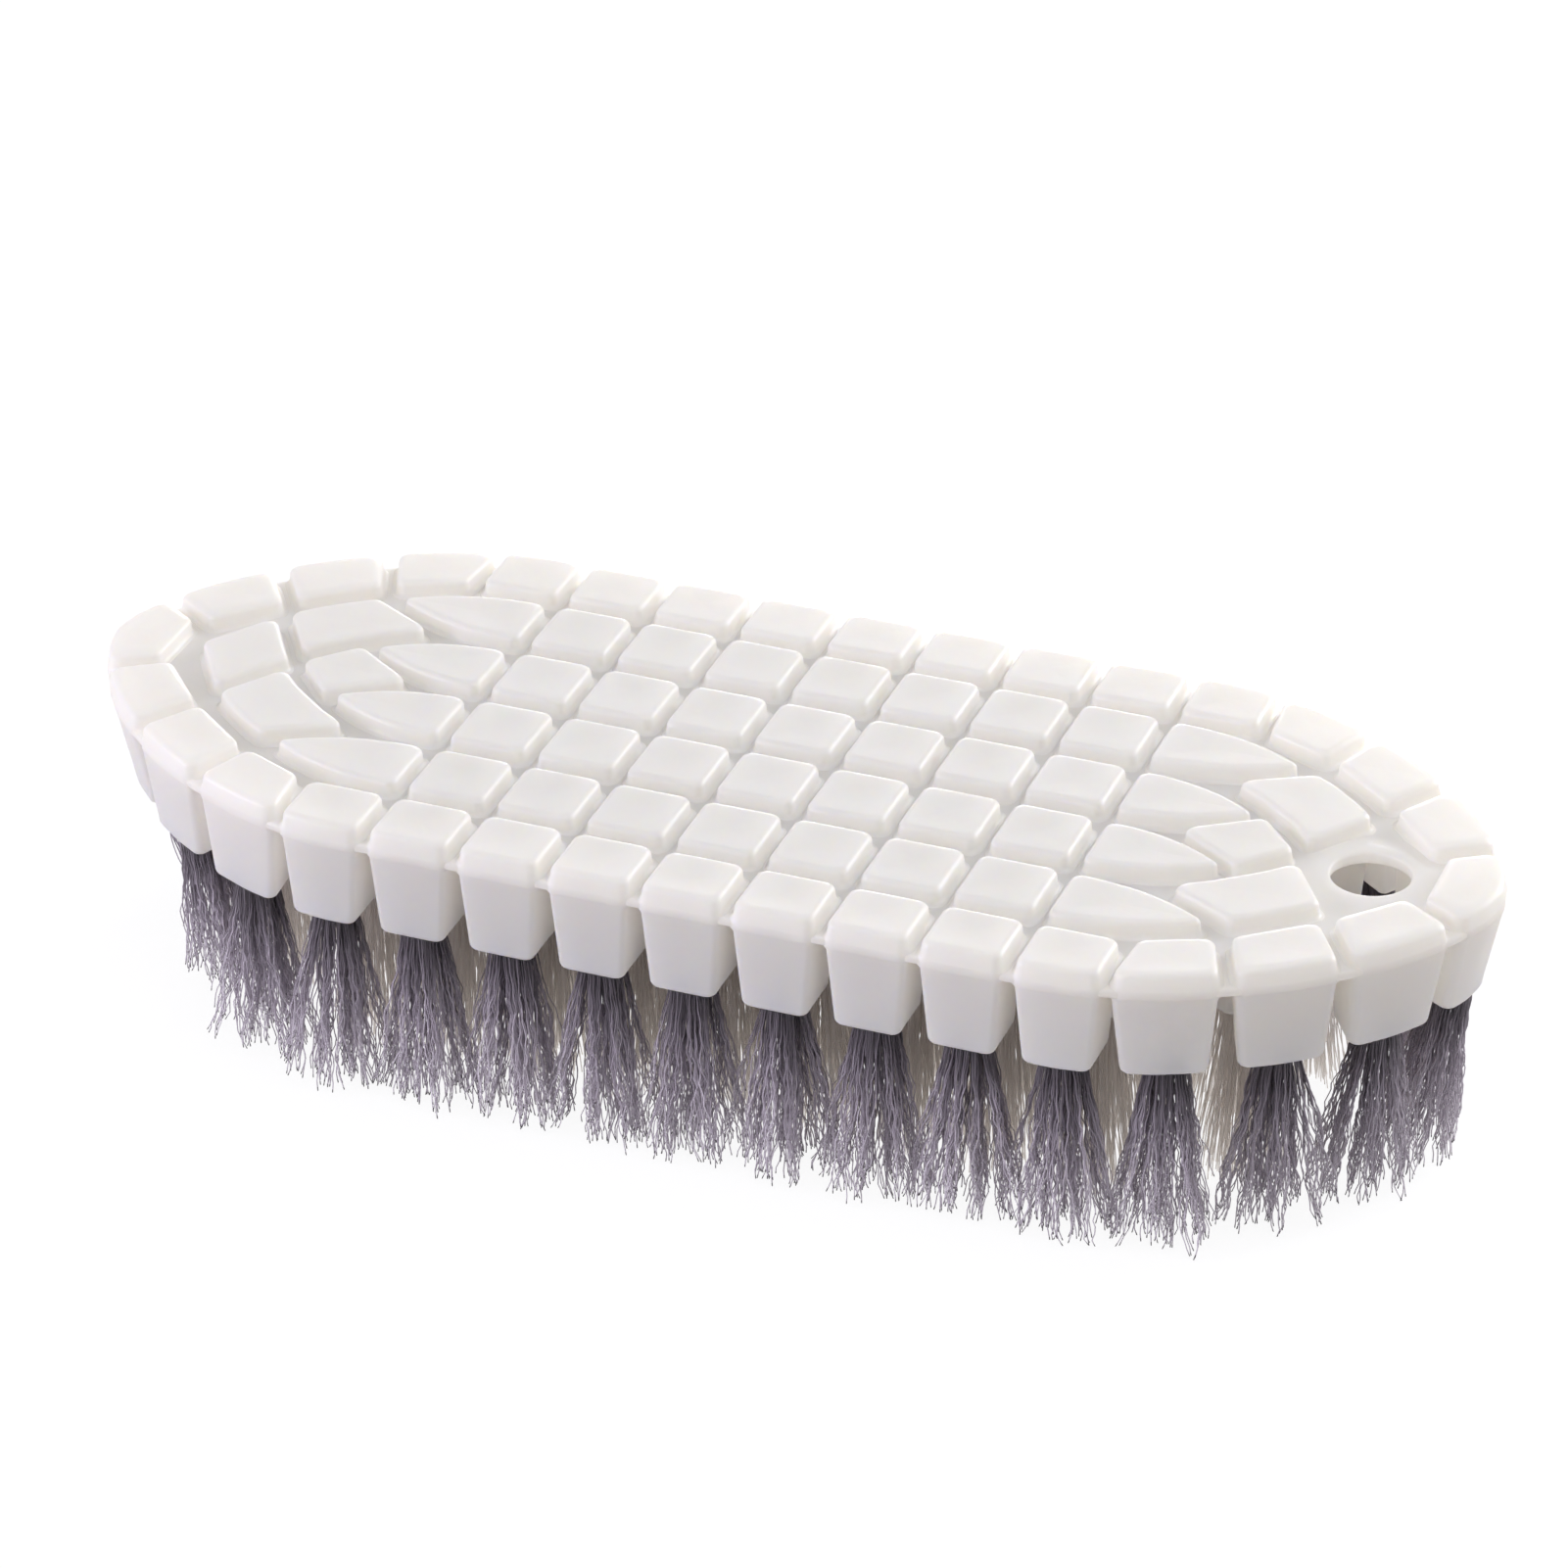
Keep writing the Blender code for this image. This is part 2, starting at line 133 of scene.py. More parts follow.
peg_bottom = bristle_length
web_bottom = peg_bottom + peg_depth
web_top = web_bottom + web_thickness
web_middle = (web_bottom + web_top) / 2
pad_top = web_top + pad_height
last_column = side_columns * column_pitch
rim_inner = inner_rows[-1] * row_pitch + square_width / 2 + side_groove
half_width = rim_inner + rim_width
half_groove = rim_groove / 2


def edge_at(turns, outward=0.0):
    """Points on the +X end's outer edge. A turn of 0 is the tip: x and y are the cosine and sine of the turn,
    each raised to a power and times the end's length and half width, both grown by outward."""
    power = 2 / end_roundness
    turns = np.atleast_1d(turns)
    x = last_column + (end_length + outward) * np.abs(np.cos(turns)) ** power
    y = (half_width + outward) * np.abs(np.sin(turns)) ** power
    return np.stack((x, np.copysign(y, turns)), -1)


def moved_in(corners, amounts):
    """An outline with each side moved in by its own amount. A corner goes where its two moved sides cross,
    or half way between them where they run on almost in line."""
    run = corners - np.roll(corners, 1, 0)
    run = run / np.linalg.norm(run, axis=-1, keepdims=True)
    before = np.stack((-run[:, 1], run[:, 0]), -1)
    after = np.roll(before, -1, 0)
    first, second = amounts[..., None], np.roll(amounts, -1, -1)[..., None]
    lean = (before * after).sum(-1, keepdims=True)
    crossing = first * before + second * after - lean * (second * before + first * after)
    middle = (first + second) / 2 * (before + after) / (1 + lean)
    return corners + np.where(lean > in_line_cosine, middle, crossing / np.maximum(1 - lean ** 2, 1e-6))


def rounded(outlines, radius, points=6):
    """Outlines with every corner turned into an arc: the weighted second-degree curve from one side to the
    next, which is a true circle. It takes less than half of a side, or more where the side's other corner
    is gentle, and a gentle corner takes a share of its shorter side."""
    before = outlines - np.roll(outlines, 1, -2)
    length = np.linalg.norm(before, axis=-1)
    before = before / length[..., None]
    after = np.roll(before, -1, -2)
    cosine = np.clip((before * after).sum(-1), sharpest_cosine, 1)
    gentle = cosine > gentle_cosine
    room_before, room_after = (
        side * np.where(np.roll(gentle, step, -1), long_room_share, side_room_share)
        for side, step in ((length, 1), (np.roll(length, -1, -1), -1)))
    shorter = np.minimum(length, np.roll(length, -1, -1))
    cut = np.minimum(radius * np.sqrt((1 - cosine) / (1 + cosine)), np.minimum(room_before, room_after))
    cut = np.where(gentle, gentle_cut_share * shorter, cut)
    share = np.linspace(0, 1, points)[:, None]
    start, end = (1 - share) ** 2, share ** 2
    middle = 2 * share * (1 - share) * np.sqrt((1 + cosine) / 2)[..., None, None]
    bend = (end * after[..., None, :] - start * before[..., None, :]) / (start + middle + end)
    curves = outlines[..., None, :] + bend * cut[..., None, None]
    return curves.reshape(*outlines.shape[:-2], -1, 2)


def closed_shell(rings, first_pole, last_pole):
    """A closed surface through rings of points, each counter-clockwise seen from the last: every ring is
    joined to the next by four-sided faces, and the two end rings each to a pole by triangles."""
    rows, count = rings.shape[:2]
    index = np.arange(rows * count).reshape(rows, count)
    after = np.roll(index, -1, 1)
    walls = np.stack((index[:-1], after[:-1], after[1:], index[1:]), -1).reshape(-1, 4)
    ends = [np.stack((after[0], index[0], np.full(count, rows * count)), -1)]
    ends.append(np.stack((index[-1], after[-1], np.full(count, rows * count + 1)), -1))
    points = np.concatenate((rings.reshape(-1, 3), [first_pole, last_pole]))
    return points, [walls, np.concatenate(ends)]


def make_piece(name, shells, material):
    """One smooth mesh object out of several shells, in metres and at the origin."""
    points, faces, offset = [], [], 0
    for shell_points, groups in shells:
        for group in groups:
            faces += (group + offset).tolist()
        points.append(shell_points)
        offset += len(shell_points)
    mesh = bpy.data.meshes.new(name)
    mesh.from_pydata(np.concatenate(points) * MM, [], faces)
    mesh.polygons.foreach_set("use_smooth", np.ones(len(mesh.polygons), bool))
    mesh.materials.append(material)
    piece = bpy.data.objects.new(name, mesh)
    bpy.context.scene.collection.objects.link(piece)
    return piece


def linear(hex_colour):
    """An sRGB hex colour as linear light: (c + 0.055) / 1.055 to the power 2.4, or c / 12.92 when dark."""
    c = np.array([int(hex_colour[i:i + 2], 16) for i in (1, 3, 5)]) / 255
    return (*np.where(c > 0.04045, ((c + 0.055) / 1.055) ** 2.4, c / 12.92), 1.0)


def add_node(material, kind, settings=(), links=()):
    """A new node: settings are (attribute, value) or (socket, value), and links are (socket, source)."""
    node = material.node_tree.nodes.new(kind)
    for key, value in settings:
        if isinstance(key, str) and hasattr(node, key):
            setattr(node, key, value)
        else:
            node.inputs[key].default_value = value
    for key, source in links:
        material.node_tree.links.new(source, node.inputs[key])
    return node


def colour_stops(ramp, stops):
    """Fills a colour ramp with (position, hex colour) stops."""
    elements = ramp.color_ramp.elements
    while len(elements) < len(stops):
        elements.new(0.5)
    for element, (position, colour) in zip(elements, stops):
        element.position = position
        element.color = linear(colour)


def let_light_through(material, share, hex_colour):
    """Mixes a share of diffuse transmission into a material's surface shader, as milky plastic has."""
    nodes = material.node_tree.nodes
    through = add_node(material, "ShaderNodeBsdfTranslucent", [("Color", linear(hex_colour))])
    mixed = add_node(material, "ShaderNodeMixShader", [(0, share)], [
        (1, nodes["Principled BSDF"].outputs["BSDF"]), (2, through.outputs["BSDF"])])
    material.node_tree.links.new(mixed.outputs["Shader"], nodes["Material Output"].inputs["Surface"])


# Soft polyolefin, injection moulded in a fine spark-eroded mould: an off-white satin that scatters light for
# 3 mm inside and lets some through, so that the deep gaps glow. Its tint clouds over 7 mm and its surface
# waves over 3 mm. The mould's grain of 0.05 mm is drawn at 0.3 mm to show.
clouds_per_metre, waves_per_metre, grains_per_metre = 140, 320, 3300
wave_height, grain_height = 0.12, 0.02
scatter_length = 3.0
block_light_share, web_light_share = 0.42, 0.5
soft_plastic = bpy.data.materials.new("moulded_soft_polyolefin")
soft_plastic.use_nodes = True
shader = soft_plastic.node_tree.nodes["Principled BSDF"]
shader.inputs["IOR"].default_value = 1.5
shader.inputs["Subsurface Weight"].default_value = 0.6
shader.inputs["Subsurface Radius"].default_value = (1.0, 0.8, 0.5)
shader.inputs["Subsurface Scale"].default_value = scatter_length * MM
where = add_node(soft_plastic, "ShaderNodeTexCoord").outputs["Object"]
cloud, grain, flow = (
    add_node(soft_plastic, "ShaderNodeTexNoise", [("Scale", per_metre), ("Detail", detail)],
             [("Vector", where)])
    for per_metre, detail in ((clouds_per_metre, 3), (grains_per_metre, 2), (waves_per_metre, 2)))
tint = add_node(soft_plastic, "ShaderNodeValToRGB", links=[("Fac", cloud.outputs["Fac"])])
colour_stops(tint, [(0.30, "#F7F5F3"), (0.70, "#FBFAF9")])
polish = add_node(soft_plastic, "ShaderNodeMapRange", [("To Min", 0.3), ("To Max", 0.42)],
                  [("Value", flow.outputs["Fac"])])
waves = add_node(soft_plastic, "ShaderNodeBump", [("Strength", 0.35), ("Distance", wave_height * MM)],
                 [("Height", flow.outputs["Fac"])])
fine = add_node(soft_plastic, "ShaderNodeBump", [("Strength", 0.25), ("Distance", grain_height * MM)],
                [("Height", grain.outputs["Fac"]), ("Normal", waves.outputs["Normal"])])
for socket, source in (("Base Color", tint.outputs["Color"]), ("Roughness", polish.outputs["Result"]),
                       ("Normal", fine.outputs["Normal"])):
    soft_plastic.node_tree.links.new(source, shader.inputs[socket])
let_light_through(soft_plastic, block_light_share, "#FFFCF7")


def edge_inset(height, radius):
    """How far a rounded edge lies inside its face at a height from its foot: a quarter circle."""
    return radius * (1 - np.sqrt(1 - (1 - np.clip(height / radius, 0, 1)) ** 2))


def block_profile():
    """A block's side from the foot of its peg to the edge of its pad: quarter circles at the foot, at the web
    and at the top, and straight drafts between them. Each row is a height, the inset of the sides along the
    web and of the outer side there, and how much of it the web's fillet gives back and the top's rounding
    takes. The outer side steps in by the parting line below the web."""
    turn = np.linspace(0, np.pi / 2, 6)
    z = np.concatenate((
        peg_bottom + peg_side_edge * (1 - np.cos(turn)),
        np.linspace(peg_bottom + peg_side_edge + foot_to_draft, web_bottom - web_fillet - draft_to_web, 3),
        web_bottom - web_fillet * (1 - np.sin(turn)),
        web_bottom + parting_rises,
        web_top + web_fillet * (1 - np.cos(turn)),
        pad_top - pad_edge * (1 - np.sin(turn)),
    ))
    peg = peg_draft * np.clip((web_middle - z) / (web_middle - peg_bottom - peg_side_edge), 0, 1)
    pad = np.clip((z - web_top) / (pad_top - web_top), 0, 1)
    flare = edge_inset(np.where(z < web_middle, web_bottom - z, z - web_top), web_fillet)
    top = edge_inset(pad_top - z, pad_edge)
    along_web = peg + edge_inset(z - peg_bottom, peg_side_edge) - flare + pad * pad_draft + top
    outer = peg + edge_inset(z - peg_bottom, peg_front_edge) + pad * pad_front_draft + top
    outer = outer + np.where(z < web_bottom + parting_reach, parting_step, 0)
    return np.stack((z, along_web, outer, flare, top), -1)


profile = block_profile()


def end_lean(corners, on_edge, tuft):
    """How near a rim block is to its tip, as the square of the share of the way there, its outward
    direction, and how far its peg leans per mm of its depth."""
    if not on_edge.any():
        return 0.0, np.array((0.0, 1.0)), np.zeros(2)
    outward = corners[on_edge].mean(0) - tuft
    outward = outward / np.linalg.norm(outward)
    at_end = np.clip((abs(tuft[0]) - last_column) / (end_length - rim_width / 2), 0, 1) ** 2
    return at_end, outward, end_peg_leans[np.sign(tuft[0]) or 1] * at_end * outward


def block_shell(block):
    """A block as one closed surface. It starts in the roof of its bore, comes down and out over the foot,
    climbs the profile round the rounded outline, and closes over a top that sinks by the square of
    1 - share squared towards its middle. The peg leans by a share of its depth, and its corners are
    sharper than the pad's."""
    corners, on_edge, tuft, depth = block
    inner_side = ~(on_edge & np.roll(on_edge, 1))
    z, along_web, outer, flare, top_edge = (column[:, None] for column in profile.T)
    at_end, outward, lean = end_lean(corners, on_edge, tuft)
    outer_corner = on_edge & ~(np.roll(on_edge, 1) & np.roll(on_edge, -1))
    radius = np.where(z < web_bottom + parting_reach, peg_corner_radius, corner_radius)
    radius = np.where(outer_corner, radius + (end_corner_radius - corner_radius) * at_end, radius)
    insets = np.where(inner_side, along_web, outer) + top_edge * at_end
    outlines = rounded(moved_in(corners, insets), radius + flare)
    outlines = outlines + np.maximum(web_bottom - z[..., None], 0) * lean
    tuft = tuft + peg_depth * lean
    walls = np.dstack((outlines, np.broadcast_to(z, outlines.shape[:2])))
    middle = centre_of(corners)
    share = top_ring_shares[:, None, None]
    top = middle + (walls[-1, :, :2] - middle) * share
    top = np.dstack((top, np.broadcast_to(pad_top - depth * (1 - share[..., 0] ** 2) ** 2, top.shape[:2])))
    away = walls[0, :, :2] - tuft
    away = away / np.linalg.norm(away, axis=-1, keepdims=True)
    bore = tuft + away * (bore_radius + bore_flares)[:, None, None]
    bore_z = peg_bottom + bore_rises[:, None]
    bore = np.dstack((bore, np.broadcast_to(bore_z, bore.shape[:2])))
    rings = np.concatenate((bore, walls, top))
    return closed_shell(rings, (*tuft, bore_z[0, 0]), (*middle, pad_top - depth))


def centre_of(corners):
    """The centre of area of an outline: the mean of its triangles from the origin, weighted by their area."""
    before = np.roll(corners, 1, 0)
    area = before[:, 0] * corners[:, 1] - before[:, 1] * corners[:, 0]
    return ((before + corners) * area[:, None]).sum(0) / (3 * area.sum())


def across(block):
    """The same block on the other side of the long axis, still counter-clockwise."""
    corners, on_edge, tuft, depth = block
    return corners[::-1] * (1, -1), on_edge[::-1], tuft * (1, -1), depth


def at_other_end(block):
    """The same block at the -X end, still counter-clockwise."""
    corners, on_edge, tuft, depth = block
    return corners[::-1] * (-1, 1), on_edge[::-1], tuft * (-1, 1), depth


def block_of(inner, outer=(), tuft=None, depth=sink):
    """A block from its inner corners and the points along its outer edge, with its tuft at its centre."""
    corners = np.concatenate((inner, np.reshape(outer, (-1, 2))))
    on_edge = np.arange(len(corners)) >= len(inner)
    return corners, on_edge, centre_of(corners) if tuft is None else np.array(tuft), depth


def inner_blocks(column):
    """The four pads of one column between the rims: squares, or arched leaves in the last column. A leaf's
    half width falls off by a power of the share of its length."""
    blocks = []
    for row in inner_rows:
        x, y = column * column_pitch, row * row_pitch
        left, right = x - square_length / 2, x + square_length / 2
        if column < side_columns:
            low, high = y - square_width / 2, y + square_width / 2
            blocks.append(block_of([(left, low), (right, low), (right, high), (left, high)]))
            continue
        length = outer_leaf_length if abs(row) > 1 else inner_leaf_length
        x_along = left + length * leaf_side_shares
        half = leaf_width / 2 * (1 - leaf_side_shares ** leaf_fullness)
        lower = np.stack((x_along, y - half), -1)
        upper = np.stack((x_along, y + half), -1)[::-1]
        outline = np.concatenate((lower, [(left + length, y)], upper))
        blocks.append(block_of(outline, tuft=(left + length * leaf_tuft_share, y)))
    return blocks


def side_blocks(column):
    """The two rim blocks of one column. In the last column their outer sides follow the curved edge."""
    left = column * column_pitch - square_length / 2
    x = left + square_length * np.linspace(1, 0, 3)
    past = np.maximum(x - last_column, 0) / end_length
    outer = np.stack((x, half_width * (1 - past ** end_roundness) ** (1 / end_roundness)), -1)
    inner = [(left, rim_inner), (left + square_length, rim_inner)]
    block = block_of(inner, outer if past.any() else outer[::2])
    return [across(block), block]


def bowed(start, end, height):
    """Two points along the side from start to end, moved out of a counter-clockwise outline by a height."""
    side = end - start
    out = np.array((side[1], -side[0])) / np.linalg.norm(side) * height
    return start + side * bow_shares[:, None] + out


def end_blocks(with_end_diamond):
    """The +X end's seven rim blocks from -Y to +Y, its two kites and its diamonds. The rim blocks are cut
    from the rim by grooves of one width, and the top of the one at the tip is crowned. A kite's side towards
    the rim bows out and the one towards the leaves is hollow."""
    grooves = edge_at(rim_turns, half_groove)
    inner = rim_inner_shares * (end_length, half_width) + (last_column, 0)
    upper = []
    for number in range(len(rim_turns) - 1):
        between = np.linspace(rim_turns[number + 1], rim_turns[number], 3)
        outer = edge_at(between, half_groove)
        corners = np.concatenate(([inner[number], inner[number + 1]], outer))
        corners = moved_in(corners, np.full(len(corners), half_groove))
        upper.append(block_of(corners[:2], corners[2:]))
    start = inner[-1] + (grooves[-1] - inner[-1]) * tip_block_share
    outer = edge_at(np.linspace(-rim_turns[-1], rim_turns[-1], 5), half_groove)
    corners = np.concatenate(([start, start * (1, -1)], outer))
    corners = moved_in(corners, np.full(len(corners), half_groove))
    tip = block_of(corners[:2], corners[2:], depth=tip_sink)
    kite = kite_shares * (end_length, half_width) + (last_column, 0)
    hollow, bow = bowed(kite[0], kite[1], -kite_hollow), bowed(kite[2], kite[3], kite_bow)
    kite = np.concatenate((kite[:1], hollow, kite[1:3], bow, kite[3:]))
    diamonds = [diamond_shares, end_diamond_shares][:1 + with_end_diamond]
    diamonds = [shares * (end_length, half_width) + (last_column, 0) for shares in diamonds]
    tufts = [(last_column + diamond_tuft_share * end_length, 0.0), None]
    rim = [across(block) for block in upper] + [tip] + upper[::-1]
    kites = [across(block_of(kite)), block_of(kite)]
    return rim, kites + [block_of(diamond, tuft=tuft) for diamond, tuft in zip(diamonds, tufts)]


# Each segment's rim blocks, with grey tufts, and inner blocks, with white ones
segments = {}
for column in range(-side_columns, side_columns + 1):
    groups = side_blocks(abs(column)), inner_blocks(abs(column))
    if column < 0:
        groups = [[at_other_end(block) for block in group] for group in groups]
    segments[f"column_{column + side_columns + 1}"] = groups
segments["hanging_end"] = end_blocks(False)
segments["plain_end"] = [[at_other_end(block) for block in group] for group in end_blocks(True)]

for body, (rim, inner) in segments.items():
    shells = [block_shell(block) for block in [*rim, *inner]]
    piece = make_piece(f"{body}_pads_and_pegs", shells, soft_plastic)
    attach(piece, body)
    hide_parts(f"back_{body}" if body.startswith("column") else body)

# ---------------------------------------------------------------------------------------------------------
# Web: the 1 mm skin of the same moulding that joins every block, and on the brush the part that bends. It
# runs from column to column, one length from each column's middle to the next.
web_setback = 0.3
web_edge_radius = 0.4

# The web is the same plastic, but at 1 mm it lets more light through than the blocks do
thin_plastic = soft_plastic.copy()
thin_plastic.name = "moulded_soft_polyolefin_1_mm"
thin_plastic.node_tree.nodes["Mix Shader"].inputs[0].default_value = web_light_share


def web_section():
    """The web's cut end as (outward, z): half way round a slab with rounded edges, from its underside to
    its top, where outward is measured from its outermost line."""
    turn = np.linspace(0, np.pi / 2, 5)
    upper = np.stack((web_edge_radius * (np.cos(turn) - 1),
                      web_top - web_edge_radius * (1 - np.sin(turn))), -1)
    lower = upper[::-1] * (1, -1) + (0, web_top + web_bottom)
    return np.concatenate((lower, upper))


def web_between(column):
    """The web from a column's middle to the next one's: its section on both sides at each station along x,
    closer together in the groove, where it bends."""
    start = column * column_pitch
    groove = np.linspace(square_length / 2, column_pitch - square_length / 2, 7)
    stations = start + np.concatenate(([0.0], groove, [column_pitch]))
    outward, z = web_section().T
    y = np.concatenate((outward + half_width - web_setback, -outward[::-1] - half_width + web_setback))
    z = np.concatenate((z, z[::-1]))
    rings = np.stack(np.broadcast_arrays(stations[:, None], y, z), -1)
    return closed_shell(rings, (stations[0], 0.0, web_middle), (stations[-1], 0.0, web_middle))


for column in range(-side_columns, side_columns):
    first, second = (f"column_{number + side_columns + 1}" for number in (column, column + 1))
    piece = make_piece(f"web_{first}_to_{second}", [web_between(column)], thin_plastic)
    start, end = (((column + share) * column_pitch + reach) * MM
                  for share, reach in ((0, square_length / 2), (1, -square_length / 2)))
    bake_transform(piece)

# ---------------------------------------------------------------------------------------------------------
# End webs and hanging hole: past the last columns the web is one rounded sheet with the same edge. Near the
# tip of one end it rises into a soft ring round the hanging hole, almost level with the pads.
hole_radius, hole_x_share = 4.15, 0.625
hole_edge_radius, hole_under_radius = 0.3, 0.8
ring_height, ring_flat_radius, ring_foot_radius = 0.6, 4.9, 8.6
pole_radius = 1.0
web_rings = 15


def end_outline(outward):
    """The +X end web's plan, counter-clockwise from its -Y corner: the curved edge moved by outward, and
    the straight line back along the last column's middle."""
    curve = edge_at(np.linspace(-np.pi / 2, np.pi / 2, 81), outward)
    back = np.linspace(curve[-1], curve[0], 26)[1:-1]
    back[:, 0] = last_column
    return np.concatenate((curve, back))


def end_web(hole):
    """An end's web: rings that pass from a circle round the hole's axis to the outer edge along the top,
    turn under it by the web's section, and come back along the underside. With a hole the rings close on
    themselves up its wall and down the ring's slope, a smooth step of 3 t squared less 2 t cubed, and
    without one they close on a pole above and below."""
    centre = np.array((last_column + hole_x_share * end_length, 0.0))
    edge = end_outline(-web_setback)
    away = (edge - centre) / np.linalg.norm(edge - centre, axis=-1, keepdims=True)
    share = (np.arange(1, web_rings) / web_rings)[:, None, None]
    inner_radius = ring_foot_radius if hole else pole_radius
    inner = centre + away * inner_radius
    near_edge = end_outline(-web_setback - web_edge_radius)
    top = inner + (near_edge - inner) * share
    levels = [(ring, web_top) for ring in (inner, *top)]
    levels += [(end_outline(outward - web_setback), z) for outward, z in web_section()[::-1]]
    under_radius = hole_radius + hole_under_radius if hole else pole_radius
    under = centre + away * under_radius
    levels += [(under + (near_edge - under) * part, web_bottom) for part in share[::-1]]
    levels += [(under, web_bottom)]
    if hole:
        turn = np.linspace(0, np.pi / 2, 5)
        wall = [(hole_radius + hole_under_radius * (1 - np.sin(t)),
                 web_bottom + hole_under_radius * (1 - np.cos(t))) for t in turn[1:]]
        wall += [(hole_radius + hole_edge_radius * (1 - np.cos(t)),
                  web_top + ring_height - hole_edge_radius * (1 - np.sin(t))) for t in turn]
        part = np.linspace(0, 1, 9)[:-1]
        slope = ring_flat_radius + (ring_foot_radius - ring_flat_radius) * part
        wall += list(zip(slope, web_top + ring_height * (1 - part ** 2 * (3 - 2 * part))))
        levels += [(centre + away * radius, z) for radius, z in wall]
    rings = np.stack([np.column_stack((ring, np.full(len(ring), z))) for ring, z in levels])[::-1]
    if not hole:
        return closed_shell(rings, (*centre, web_bottom), (*centre, web_top))
    index = np.arange(rings.shape[0] * rings.shape[1]).reshape(rings.shape[:2])
    after, above = np.roll(index, -1, 1), np.roll(index, -1, 0)
    return rings.reshape(-1, 3), [np.stack((index, after, np.roll(after, -1, 0), above), -1).reshape(-1, 4)]


for side, column, end in ((1, "column_9", "hanging_end"), (-1, "column_1", "plain_end")):
    points, groups = end_web(hole=side > 0)
    if side < 0:
        points = points * (-1, 1, 1)
        groups = [group[:, ::-1] for group in groups]
    piece = make_piece(f"web_{column}_to_{end}", [(points, groups)], thin_plastic)
    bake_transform(piece)

# ---------------------------------------------------------------------------------------------------------
# Tufts: crimped nylon filaments folded in two and driven into each peg. They leave it tightly packed, spread
# and cling together in pointed locks, and were cut to one length that handling has made ragged.
filament_radius, root_thickness, thinning = 0.078, 1.1, 0.2
tuft_root_radius = 2.1
tuft_locks = 17
rim_spread = 1.3
reach_limit = 5.1
root_inside = 1.6
lock_scatter, tip_scatter = 0.5, 0.22
wear_shape, lock_wear = 1.5, 0.35
straight_share, spread_power = 0.06, 0.95
crimp_length, crimp_range = 3.1, (0.5, 1.5)
lock_pace_range, pace_scatter, phase_scatter = (0.8, 1.25), 0.04, 0.5
full_crimp_depth, most_crimp = 6, 1.2
full_wander_depth, most_wander, wander_per_mm = 12, 1.3, 0.55
own_tint_share = 0.6
grey_tuft = {"count": 175, "stations": 26, "spread": 2.35, "gather": 0.24,
             "wander": 0.34, "crimp": 0.09, "wear": 0.9}
white_tuft = {"count": 150, "stations": 11, "spread": 1.95, "gather": 0.95,
              "wander": 0.1, "crimp": 0.03, "wear": 0.3}
# At each end, how far the rim tufts' tips come in from the edge, and how far above the table they stop
end_tuft_tips = {1: (2.6, 0.2), -1: (9.4, 5.0)}


def filament_paths(tuft, outward, lean, tip_z, kind, rng):
    """Centre lines of one tuft's filaments, and each one's random number. A root lies on a sunflower
    spiral: radius by the square root of its number, turned by the golden angle. The tip lies further out
    in the same direction, drawn in to its lock's and kept from reaching too far out by a hyperbolic
    tangent. The line between them leans out by a power of the share of its length past a short straight
    root, plus two sine waves that grow with the depth below the peg: a fine crimp that all of a lock
    nearly shares, and a slow wander of its own. A tuft spreads more along the rim than towards outward,
    and as a whole leans by lean. Wear shortens locks and filaments by gamma-distributed lengths."""
    count, spread, stations = kind["count"], kind["spread"], kind["stations"]

    def spiral(total):
        number = np.arange(total) + 0.5
        turn = number * np.pi * (3 - np.sqrt(5)) + rng.uniform(0, 2 * np.pi)
        radius = tuft_root_radius * np.sqrt(number / total)
        return radius[:, None] * np.stack((np.cos(turn), np.sin(turn)), -1)

    root, lock_root = spiral(count), spiral(tuft_locks)
    lock = np.linalg.norm(root[:, None] - lock_root, axis=-1).argmin(1)
    lock_tip = lock_root * spread + rng.normal(0, lock_scatter, (tuft_locks, 2))
    tip = lock_tip[lock] + (root - lock_root[lock]) * spread * kind["gather"]
    tip = tip + rng.normal(0, tip_scatter, (count, 2))
    along_rim = np.array((-outward[1], outward[0]))
    reach = tip @ outward
    tip = tip + np.minimum(reach_limit * np.tanh(reach / reach_limit) - reach, 0)[:, None] * outward
    tip = tip + (tip @ along_rim)[:, None] * along_rim * (rim_spread - 1) + lean
    share = np.linspace(0, 1, stations)[None, :, None]
    length = bristle_length - tip_z - rng.gamma(wear_shape, kind["wear"], count)
    length = length - rng.gamma(wear_shape, lock_wear, tuft_locks)[lock]
    z = peg_bottom + root_inside - share[..., 0] * (length + root_inside)[:, None]
    fall = np.maximum(share - straight_share, 0) / (1 - straight_share)
    plan = root[:, None] + (tip - root)[:, None] * fall ** spread_power
    phase = rng.uniform(0, 2 * np.pi, (tuft_locks, 2))[lock] + rng.normal(0, phase_scatter, (count, 2))
    pace = rng.uniform(*lock_pace_range, (tuft_locks, 2))[lock] * rng.normal(1, pace_scatter, (count, 2))
    depth = (peg_bottom - z)[..., None]
    crimp = kind["crimp"] * rng.uniform(*crimp_range, (count, 1, 1))
    crimp = crimp * np.clip(depth / full_crimp_depth, 0, most_crimp)
    plan = plan + crimp * np.sin(depth * pace[:, None] * 2 * np.pi / crimp_length + phase[:, None])
    slow = rng.uniform(0, 2 * np.pi, (count, 2))
    wander = kind["wander"] * np.clip(depth / full_wander_depth, 0, most_wander)
    plan = plan + wander * np.sin(depth * wander_per_mm + slow[:, None])
    number = rng.uniform(0, 1, count) * own_tint_share + lock / tuft_locks * (1 - own_tint_share)
    return np.concatenate((tuft + plan, z[..., None]), -1), number


